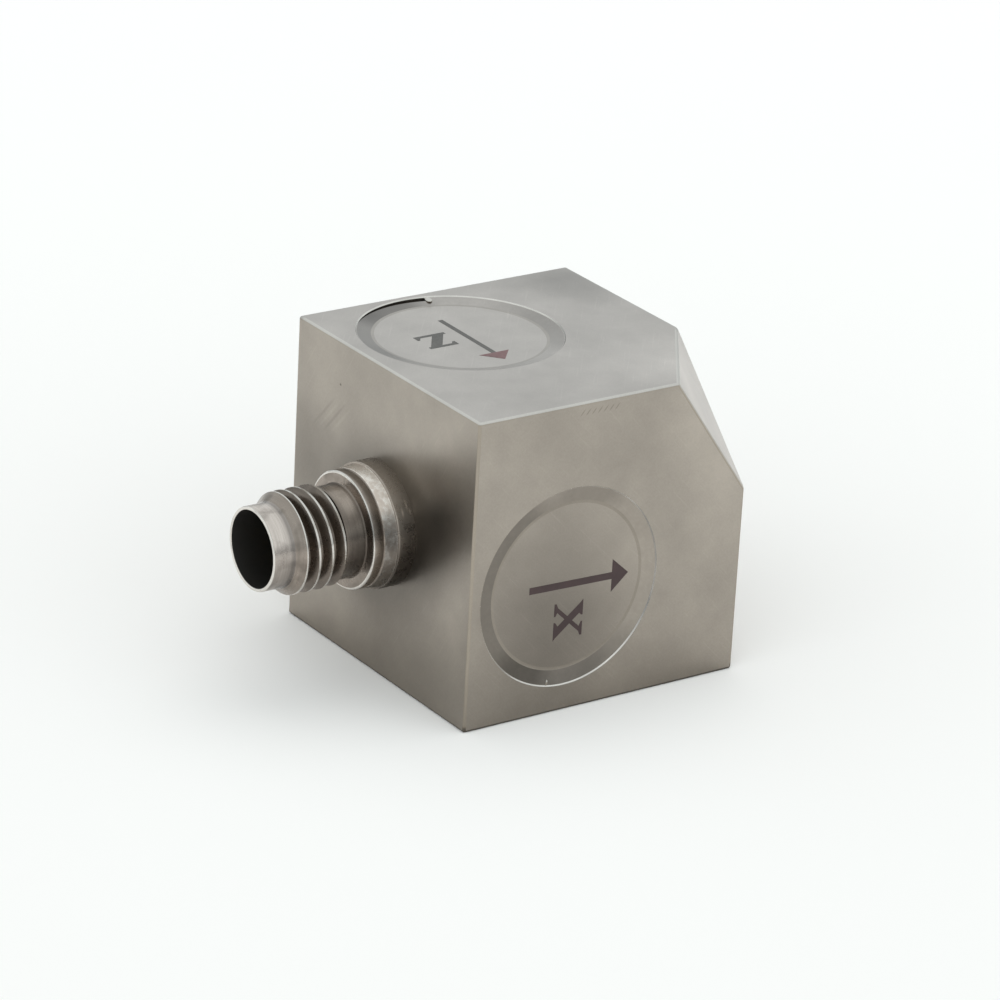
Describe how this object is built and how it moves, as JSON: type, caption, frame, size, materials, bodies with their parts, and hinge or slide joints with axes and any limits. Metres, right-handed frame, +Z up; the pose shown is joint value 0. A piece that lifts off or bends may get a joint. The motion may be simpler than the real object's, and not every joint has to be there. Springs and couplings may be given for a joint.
{
  "type": "triaxial vibration sensor",
  "caption": "Cube-shaped triaxial vibration sensor of ground metal with a cut-off corner, round welded covers, a threaded round connector and a tapped mounting hole.",
  "frame": {"origin": "middle of the plain face that the cube rests on", "axes": "+Z up from the resting face, connector towards -X, mounting face with the tapped hole towards +Y"},
  "size_m": [0.0291, 0.02, 0.02],
  "materials": {
    "ground_titanium": "fine ground, satin",
    "cover_titanium": "fine ground, satin",
    "connector_steel": "turned, bright",
    "insulator_plastic": "moulded",
    "contact_gold": "gold plated",
    "post_titanium": "machined",
    "piezo_ceramic": "fired, lapped",
    "mass_tungsten": "machined tungsten alloy",
    "fastener_steel": "turned",
    "board_laminate": "solder mask",
    "chip_plastic": "moulded",
    "charge_wire": "bare wire",
    "lead_white": "extruded jacket",
    "lead_red": "extruded jacket",
    "lead_blue": "extruded jacket",
    "lead_black": "extruded jacket"
  },
  "bodies": {
    "root": {"housing": "ground_titanium", "cover_x": "cover_titanium", "cover_y": "cover_titanium", "cover_z": "cover_titanium", "connector_shell": "connector_steel", "connector_insulator": "insulator_plastic", "contact_pins": "contact_gold", "post_x": "post_titanium", "post_y": "post_titanium", "post_z": "post_titanium", "crystals_x": "piezo_ceramic", "crystals_y": "piezo_ceramic", "crystals_z": "piezo_ceramic", "masses_x": "mass_tungsten", "masses_y": "mass_tungsten", "masses_z": "mass_tungsten", "clamp_bolts": "fastener_steel", "clamp_nuts": "fastener_steel", "board_x": "board_laminate", "board_y": "board_laminate", "board_z": "board_laminate", "amplifier_x": "chip_plastic", "amplifier_y": "chip_plastic", "amplifier_z": "chip_plastic", "charge_wires": "charge_wire", "lead_x": "lead_white", "lead_y": "lead_red", "lead_z": "lead_blue", "lead_common": "lead_black"}
  },
  "joints": []
}
